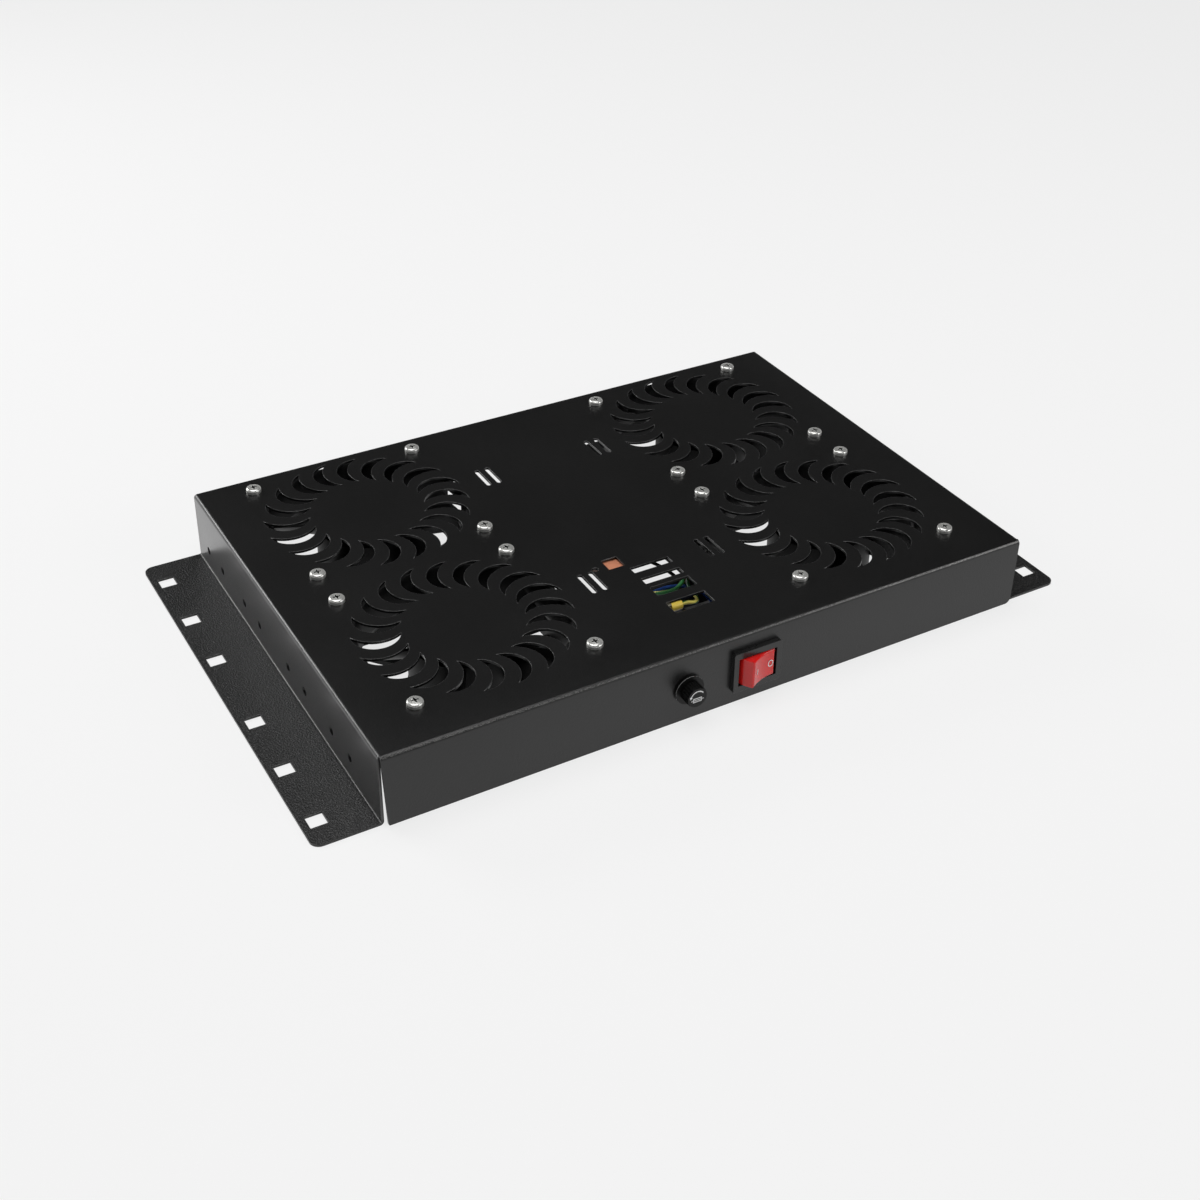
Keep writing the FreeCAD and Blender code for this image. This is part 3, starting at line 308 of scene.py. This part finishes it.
def stator_metal():
    """Laminated steel core between two copper windings, told apart by height."""
    f = Finish("stator_core")
    low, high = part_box("fan_a_stator")
    z = f.split(f.spot())[2]
    copper = (z - (low.z + high.z) / 2).size().rise(3.9 * mm, 4.1 * mm)
    sheets = ((z / (0.5 * mm)) % 1.0 - 0.5).size()
    base = f.mix(copper, grey(0.25), (0.45, 0.16, 0.06, 1))
    return f.surface(colour=base, metallic=0.8, roughness=0.35 + 0.2 * sheets,
                     normal=f.bump(sheets, 0.05 * mm))


def clear_glass():
    """The fuse's tube, with a faint film."""
    f = Finish("fuse_glass")
    cloud = f.noise(4 * mm)
    return f.surface(colour=(0.95, 0.97, 0.97, 1), roughness=0.03 + 0.03 * cloud, clear=1.0,
                     ior=1.5)


def insulation(name, colour, shade):
    """Wire insulation, a little darker where it is dusty."""
    f = Finish(name)
    cloud = f.noise(3 * mm, detail=3)
    return f.surface(colour=f.mix(cloud, shade, colour), roughness=0.32 + 0.15 * cloud,
                     normal=f.bump(f.noise(0.6 * mm), 0.01 * mm))


def striped_insulation():
    """Green with a yellow stripe that turns slowly about the wire."""
    f = Finish("wire_green_yellow")
    along, around = f.split(f.node("ShaderNodeUVMap", {"uv_map": "wire"}))[:2]
    turn = (around + along * 1.6) % 1.0
    stripe = (turn - 0.5).size().fall(0.2, 0.22)
    cloud = f.noise(3 * mm, detail=3)
    colour = f.mix(stripe, (0.05, 0.33, 0.09, 1), (0.90, 0.80, 0.15, 1))
    return f.surface(colour=f.mix(cloud * 0.25, colour, grey(0.1)), roughness=0.34 + 0.1 * cloud)


def white_print():
    """Printed paint of the marks."""
    f = Finish("white_print")
    cloud = f.noise(1.5 * mm, detail=3)
    return f.surface(colour=f.mix(cloud, grey(0.86), grey(0.96)), roughness=0.45 + 0.1 * cloud)


def every_finish():
    return {
        "powder_black": powder_coat(),
        "fan_casting": black_casting(),
        "impeller_black": moulded("impeller_black", grey(0.003), grey(0.006), 0.46, specular=0.25),
        "rotor_steel": drawn_metal("rotor_steel", grey(0.36), grey(0.26), 0.35, (1, 1, 6)),
        "shaft_steel": drawn_metal("shaft_steel", grey(0.6), grey(0.5), 0.2, (1, 1, 6)),
        "bearing_steel": drawn_metal("bearing_steel", grey(0.66), grey(0.55), 0.15),
        "stator_core": stator_metal(),
        "zinc": zinc_plate(),
        "switch_black": moulded("switch_black", grey(0.009), grey(0.014), 0.24),
        "rocker_red": moulded("rocker_red", (0.72, 0.010, 0.010, 1), (0.82, 0.016, 0.014, 1), 0.16,
                              0.8 * mm, 0.006 * mm),
        "tinned_brass": drawn_metal("tinned_brass", (0.66, 0.62, 0.5, 1), (0.5, 0.46, 0.36, 1), 0.3),
        "boot_blue": moulded("boot_blue", (0.02, 0.06, 0.30, 1), (0.03, 0.09, 0.40, 1), 0.3),
        "fuse_black": moulded("fuse_black", grey(0.003), grey(0.006), 0.3, specular=0.2),
        "fuse_glass": clear_glass(),
        "nickel": drawn_metal("nickel", grey(0.68, 0.03), grey(0.55, 0.03), 0.18),
        "terminal_orange": moulded("terminal_orange", (0.62, 0.23, 0.12, 1), (0.70, 0.28, 0.16, 1),
                                   0.45),
        "sleeve_yellow": moulded("sleeve_yellow", (0.86, 0.62, 0.07, 1), (0.95, 0.72, 0.11, 1), 0.3),
        "box_black": moulded("box_black", grey(0.010), grey(0.016), 0.4),
        "wire_green_yellow": striped_insulation(),
        "wire_blue": insulation("wire_blue", (0.04, 0.15, 0.66, 1), (0.03, 0.10, 0.44, 1)),
        "wire_brown": insulation("wire_brown", (0.10, 0.035, 0.015, 1), (0.06, 0.02, 0.01, 1)),
        "lead_black": insulation("lead_black", grey(0.016), grey(0.009)),
        "white_print": white_print(),
        "powder_edge_highlight": edge_highlight_coat(),
        "fuse_rim_highlight": pale_rim_highlight(),
    }


finishes = every_finish()


# ---------------------------------------------------------------- pieces over the frame

def linked(name, data):
    """Object at the origin, in the scene."""
    piece = bpy.data.objects.new(name, data)
    bpy.context.scene.collection.objects.link(piece)
    return piece


def is_crease(edge):
    return len(edge.link_faces) != 2 or edge.calc_face_angle(0.0) >= crease


def new_piece(name, bm, body, slot, finish=None):
    """Piece that rides on a body, smooth but for its creases, in the slot's finish or another."""
    for face in bm.faces:
        face.smooth = True
    for edge in bm.edges:
        edge.smooth = not is_crease(edge)
    mesh = bpy.data.meshes.new(name)
    bm.to_mesh(mesh)
    bm.free()
    piece = linked(name, mesh)
    mesh.materials.append(finishes[finish or slot])
    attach(piece, body)
    return piece


def soft_edges(piece, width):
    """Round the sharp edges of a piece, as a coat, mould or stamp leaves them."""
    bevel = piece.modifiers.new("edges", "BEVEL")
    bevel.width = width
    bevel.segments = 2
    bevel.limit_method = "ANGLE"
    bevel.angle_limit = crease
    bevel.harden_normals = True
    return bevel


def weigh_openings(bm):
    """Mark the upper edges of the openings in the plate and of the rack holes, to be rounded."""
    weight = bm.edges.layers.float.new("bevel_weight_edge")
    level = 0.01 * mm           # an edge this near a height lies at it
    bend_margin = 4 * mm        # leaves out the bends around the plate
    rear_margin = 1 * mm        # leaves out the plate's free edge
    hole_margin = 6 * mm        # reaches past the sides of a rack hole
    end_margin = 9 * mm         # leaves out the rounded corners of the flanges
    for edge in bm.edges:
        first, last = (vert.co for vert in edge.verts)
        middle = (first + last) / 2
        out = abs(middle.x)
        in_plate = abs(middle.z - plate_top) < level and out < wall_face - bend_margin \
            and front_face + bend_margin < middle.y < rear_edge - rear_margin
        by_rack_hole = abs(middle.z - sheet) < level \
            and abs(out - rack_hole_column) < hole_margin \
            and front_face + end_margin < middle.y < rear_edge - end_margin
        if abs(first.z - last.z) < level and is_crease(edge) and (in_plate or by_rack_hole):
            edge[weight] = 1.0


def highlighted_openings(piece, bevel):
    """Round only the weighed edges, and give them the painted edge highlight."""
    piece.data.materials.append(finishes["powder_edge_highlight"])
    bevel.material = 1
    bevel.limit_method = "WEIGHT"
    bevel.use_clamp_overlap = False


def dressed(node, body, slot, edge):
    """A finished copy of a CAD node: merged, smooth where it curves and soft at its edges."""
    bm = bmesh.new()
    bm.from_mesh(frame["nodes"][node].data)
    bmesh.ops.remove_doubles(bm, verts=bm.verts, dist=0.002 * mm)
    bmesh.ops.dissolve_limit(bm, angle_limit=math.radians(0.4), verts=bm.verts, edges=bm.edges)
    if node == "chassis_tray":
        weigh_openings(bm)
    piece = new_piece(node + "_skin", bm, body, slot)
    bevel = soft_edges(piece, edge)
    if node == "chassis_tray":
        highlighted_openings(piece, bevel)
    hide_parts(node)


edge_sizes = {
    "chassis_tray": 0.2 * mm, "frame": 0.4 * mm, "impeller": 0.25 * mm, "rotor": 0.2 * mm,
    "bearings": 0.2 * mm, "stator": 0.3 * mm, "fan_screws": 0.12 * mm, "fan_nuts": 0.25 * mm,
    "switch_body": 0.45 * mm, "switch_rocker": 0.5 * mm, "switch_boots": 0.3 * mm,
    "fuse_holder_body": 0.3 * mm, "fuse_holder_nut": 0.3 * mm, "fuse_holder_cap": 0.25 * mm,
    "fuse_end_caps": 0.2 * mm, "terminal_block": 0.5 * mm, "nuts": 0.25 * mm,
    "earth_ring_terminal": 0.1 * mm, "earth_crimp_sleeve": 0.5 * mm, "earth_nut": 0.25 * mm,
    "junction_box": 0.6 * mm, "junction_box_lid": 0.5 * mm, "junction_box_screws": 0.3 * mm,
}
thin_edge = 0.15 * mm


def edge_size(node):
    """Radius for a node's edges, by its name or by the last word of it."""
    return edge_sizes.get(node, edge_sizes.get(node.split("_")[-1], thin_edge))


def is_wire(node):
    return node.startswith("wire_") or node.endswith("_lead")


for node in sorted(slots):
    if not is_wire(node):
        dressed(node, body_of_node[node], slots[node], edge_size(node))


# ---------------------------------------------------------------- wires and leads
# Points are millimetres from the middle of the plate's top, with depth measured down.

wire_routes = {
    "wire_earth_stud": [(-2.6, -94, 4.6), (1.2, -94, 4.6), (5.2, -95.6, 5.4), (9.2, -93.4, 6.4),
                        (11.6, -86.4, 8.3), (15, -74.5, 11), (19.2, -66, 12.6), (22.8, -61, 14.6),
                        (23.8, -59.6, 16.8), (23.8, -59.6, 20)],
    "wire_earth_block": [(-14.6, -60, 8), (-14.6, -64.5, 8), (-12, -69.8, 8.4), (-6, -73.6, 9),
                         (4.5, -75.6, 9), (12.7, -71.2, 8.8), (19, -64.4, 9.6), (24.6, -58.6, 12.2),
                         (27.6, -55.4, 16.2), (27.6, -55.4, 20)],
    "wire_neutral": [(-17.85, -60, 8), (-17.85, -63.6, 8), (-16.2, -67.6, 10.6), (-8.5, -67.6, 12.6),
                     (3.6, -62.4, 15.5), (15, -64.2, 15.4), (21.4, -71.5, 15.6), (23.4, -80.5, 15.6),
                     (23.9, -88, 17), (23.9, -99.7, 17)],
    "wire_live": [(-21.2, -60, 8), (-21.2, -65, 8), (-22, -74, 11), (-23.6, -81.5, 15.6),
                  (-25, -88, 20.4), (-26.3, -94.5, 23.4), (-26.3, -100, 23.4)],
    "wire_fused": [(-12.2, -131.1, 23.4), (-8, -131.1, 23.4), (-3.6, -127.5, 24.5), (-1.6, -118, 26.5),
                   (-1, -104, 28.2), (-0.4, -92, 28.4), (1.8, -85.8, 28.6), (6.4, -84.4, 28.6),
                   (9.5, -88, 28), (9.5, -99.7, 28)],
    "wire_switched": [(9.5, -99.7, 17), (9.5, -90.2, 17), (9.5, -84.4, 22.6), (9.5, -80, 22.6)],
    "wire_return": [(23.9, -99.7, 28), (23.9, -90, 28), (24.4, -84.5, 27.4), (24.4, -80, 27.4)],
}
lead_routes = {
    "a": [(-33, 40, 34), (-10, 24, 31), (9, 2, 27), (20.2, -22, 24.8), (24.6, -38, 24.2),
          (24.6, -50, 24.2)],
    "b": [(-141, -131.6, 33.4), (-126, -133.4, 33.4), (-96, -132.4, 33.6), (-62, -129, 34),
          (-47, -112, 34.4), (-38, -90, 33.5), (-25, -76, 30), (-14, -66, 27.5), (-7, -63, 27),
          (0, -63, 27)],
    "c": [(38, 93, 33), (32, 74, 30.5), (31.5, 48, 27.5), (29.3, 20, 25.5), (29.6, -8, 24.4),
          (30.4, -32, 24.2), (30.4, -50, 24.2)],
    "d": [(43.5, -28.5, 33), (37.5, -33, 29), (36, -41, 26), (36, -50, 26)],
}
wire_radius = 1.1 * mm
lead_radius = 0.65 * mm     # each of the two cores of a fan's lead
fan_turns = {"a": 0, "b": -90, "c": 180, "d": 180}
lead_angle = -20.0          # degrees, the strut that carries the lead, before the fan's turn
lead_radii = (26 * mm, 49 * mm, 72 * mm)    # straight part of a lead, from the fan's middle
lead_depth = 35.1 * mm      # straight part below the top of the plate


def plate_point(spot):
    x, y, depth = spot
    return Vector((x * mm, y * mm + plate_middle, plate_top - depth * mm))


def lead_start(fan):
    """The lead lies on its strut from the motor base out through the duct wall."""
    centre = pivots["fan_" + fan + "_spin"].xy.to_3d()
    angle = math.radians(lead_angle + fan_turns[fan])
    outward = Vector((math.cos(angle), math.sin(angle), 0))
    return [centre + outward * radius + Vector((0, 0, plate_top - lead_depth))
            for radius in lead_radii]


def tubes(name, lines, radius):
    """Mesh of round tubes along smooth splines, each with its points as control points."""
    data = bpy.data.curves.new(name, "CURVE")
    data.dimensions = "3D"
    data.bevel_depth = radius
    data.bevel_resolution = 5
    data.use_fill_caps = True
    for points in lines:
        spline = data.splines.new("NURBS")
        spline.points.add(len(points) - 1)
        for control, place in zip(spline.points, points):
            control.co = (*place, 1)
        spline.order_u = 3
        spline.use_endpoint_u = True
        spline.resolution_u = 8
    curve = linked(name, data)
    bpy.context.view_layer.update()
    shaped = curve.evaluated_get(bpy.context.evaluated_depsgraph_get())
    mesh = bpy.data.meshes.new_from_object(shaped)
    bpy.data.objects.remove(curve)
    mesh.name = name
    return mesh


def wire_piece(node, lines, radius):
    """Smooth cover in place of a CAD wire or lead, with lengthwise UVs for stripes."""
    mesh = tubes(node + "_cover", lines, radius)
    mesh.uv_layers[0].name = "wire"
    mesh.shade_smooth()
    mesh.materials.clear()
    mesh.materials.append(finishes[slots[node]])
    piece = linked(node + "_cover", mesh)
    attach(piece, body_of_node[node])
    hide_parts(node)


def side_by_side(points, gap):
    """Two lines along the points, each half the gap to one side."""
    pair = ([], [])
    for k, point in enumerate(points):
        ahead = points[min(k + 1, len(points) - 1)] - points[max(k - 1, 0)]
        side = Vector((-ahead.y, ahead.x, 0)).normalized() * (gap / 2)
        pair[0].append(point + side)
        pair[1].append(point - side)
    return pair


for node, route in wire_routes.items():
    wire_piece(node, [[plate_point(spot) for spot in route]], wire_radius)
for fan, route in lead_routes.items():
    line = lead_start(fan) + [plate_point(spot) for spot in route]
    wire_piece("fan_" + fan + "_lead", side_by_side(line, 2 * lead_radius), lead_radius)


# ---------------------------------------------------------------- marks and the painted rim highlight

mark_thickness = 0.06 * mm
rocker_turn = math.radians(18)      # from its middle position to its rest
rocker_corner = 9.19 * mm           # front corners of the rocker to each side of its pivot
rocker_nose = 7.71 * mm             # and ahead of it
rocker_valley = 6.3 * mm            # the hollow's middle ahead of the pivot
right = Vector((1, 0, 0))
up = Vector((0, 0, 1))


def ring_mark(inner, outer, start=0.0, sweep=math.tau, steps=40):
    """Flat ring or part of one, spun from one short line."""
    bm = bmesh.new()
    line = [bmesh.ops.create_vert(bm, co=(radius, 0, 0))["vert"][0] for radius in (inner, outer)]
    edge = bm.edges.new(line)
    bmesh.ops.rotate(bm, verts=line, cent=(0, 0, 0), matrix=Matrix.Rotation(start, 3, "Z"))
    bmesh.ops.spin(bm, geom=line + [edge], cent=(0, 0, 0), axis=(0, 0, 1), angle=sweep,
                   steps=steps, use_merge=sweep == math.tau)
    return bm


def bar_mark(bars):
    """Flat bars, each from its middle and its half length and half height in millimetres."""
    bm = bmesh.new()
    for along, height, half_length, half_height in bars:
        bar = bmesh.ops.create_grid(bm, x_segments=1, y_segments=1, size=mm)["verts"]
        bmesh.ops.scale(bm, vec=(half_length, half_height, 1), verts=bar)
        bmesh.ops.translate(bm, vec=(along * mm, height * mm, 0), verts=bar)
    return bm


def lay_mark(name, bm, body, slot, place, along):
    """Thicken a flat mark and lay it upright at a place, its X along the given direction."""
    made = bmesh.ops.extrude_face_region(bm, geom=bm.faces[:])
    raised = [v for v in made["geom"] if isinstance(v, bmesh.types.BMVert)]
    bmesh.ops.translate(bm, verts=raised, vec=(0, 0, mark_thickness))
    bmesh.ops.recalc_face_normals(bm, faces=bm.faces)
    along = along.normalized()
    turn = Matrix((along, up, along.cross(up))).transposed().to_4x4()
    bmesh.ops.transform(bm, matrix=Matrix.Translation(place) @ turn, verts=bm.verts)
    new_piece(name, bm, body, slot, "white_print")


def lay_on_rocker(name, bm, across):
    """Lay a mark on the hollow front of the rocker at rest, this far across from its middle."""
    hollow = (rocker_valley - rocker_nose) / rocker_corner ** 2
    turn = Matrix.Rotation(rocker_turn, 3, "Z")
    place = turn @ Vector((across, hollow * across ** 2 - rocker_valley, 0))
    along = turn @ Vector((1, 2 * hollow * across, 0))
    lift = along.normalized().cross(up) * mark_thickness
    lay_mark(name, bm, "rocker", "rocker_red", pivots["rocker_tilt"] + place + lift, along)


def rocker_marks():
    """The signs for off and on, a ring and a bar."""
    ring = ring_mark(1.55 * mm, 2.1 * mm)
    bmesh.ops.scale(ring, vec=(0.9, 1.08, 1), verts=ring.verts)
    lay_on_rocker("rocker_off_mark", ring, 6.2 * mm)
    lay_on_rocker("rocker_on_mark", bar_mark([(0, 0, 0.28, 1.9)]), -5.0 * mm)


def arrow_mark():
    """Curved arrow: part of a ring with a three-cornered head."""
    bm = ring_mark(3.9 * mm, 4.5 * mm, math.radians(35), math.radians(125), 20)
    corners = ((3.2 * mm, 0, 0), (5.2 * mm, 0, 0), (4.2 * mm, 1.5 * mm, 0))
    head = [bmesh.ops.create_vert(bm, co=corner)["vert"][0] for corner in corners]
    bm.faces.new(head)
    turn = Matrix.Rotation(math.radians(160), 3, "Z")
    bmesh.ops.rotate(bm, verts=head, cent=(0, 0, 0), matrix=turn)
    return bm


def cap_marks():
    """Curved arrow on the end of the fuse cap, and a fuse sign under it."""
    end = Vector((cap_x, cap_low.y, cap_z))
    sign = bar_mark([(0, -1.3, 3.9, 0.22), (0, -0.2, 2.7, 0.26), (0, -2.4, 2.7, 0.26),
                     (2.44, -1.3, 0.26, 0.84), (-2.44, -1.3, 0.26, 0.84)])
    lay_mark("cap_arrow", arrow_mark(), "fuse_cap", "fuse_black", end, right)
    lay_mark("cap_fuse_sign", sign, "fuse_cap", "fuse_black", end, right)


def ring_rim_highlight():
    """Thin rounded rim around the ring of the fuse holder, pale as a painted highlight."""
    thick = 0.3 * mm
    sunk = 0.8 * thick
    bm = bmesh.new()
    bmesh.ops.create_circle(bm, segments=12, radius=thick)
    bmesh.ops.translate(bm, verts=bm.verts, vec=(fuse_ring_radius - sunk, 0, 0))
    bmesh.ops.spin(bm, geom=bm.verts[:] + bm.edges[:], cent=(0, 0, 0), axis=(0, 1, 0),
                   angle=math.tau, steps=64, use_merge=True)
    bmesh.ops.recalc_face_normals(bm, faces=bm.faces)
    middle = Vector((cap_x, front_face - fuse_ring_thick + thick, cap_z))
    bmesh.ops.translate(bm, verts=bm.verts, vec=middle)
    new_piece("fuse_ring_rim", bm, body_of_node["fuse_holder_body"], "fuse_black", "fuse_rim_highlight")


rocker_marks()
cap_marks()
ring_rim_highlight()


# ---------------------------------------------------------------- floor, light and camera

def floor_finish():
    """Pale floor that keeps a soft shadow and shows evenly pale to the eye."""
    f = Finish("studio_floor")
    rays = ("Is Camera Ray", "Is Glossy Ray", "Is Transmission Ray")
    eye, gloss, through = f.node("ShaderNodeLightPath").sisters(rays)
    lit = f.node("ShaderNodeBsdfDiffuse", {}, {"Color": grey(0.86)})
    even = f.node("ShaderNodeEmission", {}, {"Color": grey(0.955), "Strength": 1.0})
    evenness = (eye + gloss + through).rise(0.0, 1.0) * 0.8
    return f.shown(f.node("ShaderNodeMixShader", {}, {0: evenness, 1: lit, 2: even}))


def studio_floor():
    bm = bmesh.new()
    bmesh.ops.create_grid(bm, x_segments=1, y_segments=1, size=8.0)
    mesh = bpy.data.meshes.new("studio_floor")
    bm.to_mesh(mesh)
    bm.free()
    mesh.materials.append(floor_finish())
    floor = linked("studio_floor", mesh)
    floor.location.z = -0.05 * mm


def studio_world():
    """Pale walls all round that give way to a dim ceiling."""
    world = bpy.data.worlds.new("studio")
    bpy.context.scene.world = world
    f = Finish("studio", world)
    height = f.split(f.node("ShaderNodeTexCoord", output="Generated"))[2]
    colour = f.mix(height.rise(0.02, 0.24), grey(0.80), grey(0.03))
    background = f.node("ShaderNodeBackground", {}, {"Color": colour, "Strength": 1.0})
    f.shown(background, "ShaderNodeOutputWorld")


def softbox(name, place, target, size, power):
    """Oblong lamp that faces a target and isn't seen itself."""
    light = bpy.data.lights.new(name, "AREA")
    light.shape = "RECTANGLE"
    light.size, light.size_y = size
    light.energy = power
    lamp = linked(name, light)
    lamp.location = place
    lamp.rotation_euler = (Vector(target) - Vector(place)).to_track_quat("-Z", "Y").to_euler()
    lamp.visible_camera = False


def camera():
    """Three-quarter view from the front left, from above."""
    azimuth = math.radians(-31.175)
    elevation = math.radians(30.46)
    roll = math.radians(1.357)
    distance = 1.1035
    target = Vector((50.0 * mm, plate_middle + 42.8 * mm, plate_top - 1.1 * mm))
    back = Vector((math.sin(azimuth) * math.cos(elevation),
                   -math.cos(azimuth) * math.cos(elevation), math.sin(elevation)))
    data = bpy.data.cameras.new("camera")
    data.sensor_width = 36.0
    data.lens = 52.54
    data.shift_x = -0.0318
    data.shift_y = -0.111
    view = linked("camera", data)
    turn = (-back).to_track_quat("-Z", "Y").to_matrix().to_4x4()
    view.matrix_world = Matrix.Translation(target + back * distance) @ turn @ \
        Matrix.Rotation(roll, 4, "Z")
    bpy.context.scene.camera = view


studio_floor()
studio_world()
softbox("overhead", (-0.2, 0.1, 1.9), (0, 0, 0), (1.6, 1.6), 26)
softbox("front_right", (1.2, -1.3, 0.9), (0.1, 0, 0), (0.9, 0.7), 8)
softbox("rear_left", (-0.80, 1.15, 0.66), (-0.15, 0, 0), (0.7, 0.45), 7)
camera()
bpy.context.scene.view_settings.view_transform = "Standard"
